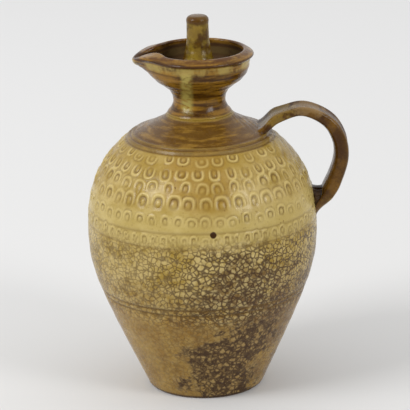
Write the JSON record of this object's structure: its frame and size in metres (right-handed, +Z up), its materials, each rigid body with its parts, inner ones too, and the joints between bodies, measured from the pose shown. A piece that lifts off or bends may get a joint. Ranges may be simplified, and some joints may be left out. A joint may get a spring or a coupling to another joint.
{
  "type": "stoneware jug",
  "caption": "Lidded stoneware jug: ovoid thrown body, narrow neck, wide pouring mouth with pinched lip, pulled strap handle and a lift-off lid with a waisted knob.",
  "frame": {"origin": "centre of the foot on the table, on the axis that the pot was turned about", "axes": "+Z up along the pot's axis, +X towards the handle, -X towards the pinched lip"},
  "size_m": [0.2189, 0.1906, 0.3162],
  "materials": {
    "pot_glaze": "glossy olive-yellow ash glaze with fine crazing and iron speckles",
    "neck_glaze": "glossy brown glaze breaking to olive-yellow",
    "handle_glaze": "semi-gloss brown glaze, worn thin on the edges",
    "luting_clay": "rough dark clay under thin glaze",
    "lid_glaze": "glossy brown glaze"
  },
  "bodies": {
    "jug": {"body": "pot_glaze", "neck_and_mouth": "neck_glaze", "handle": "handle_glaze", "luting_wad": "luting_clay"},
    "lid": {"lid": "lid_glaze"}
  },
  "joints": [
    {"name": "lid_lift", "type": "slide", "parent": "jug", "child": "lid", "axis": [0, 0, 1], "range_m": [0, 0.055]}
  ]
}
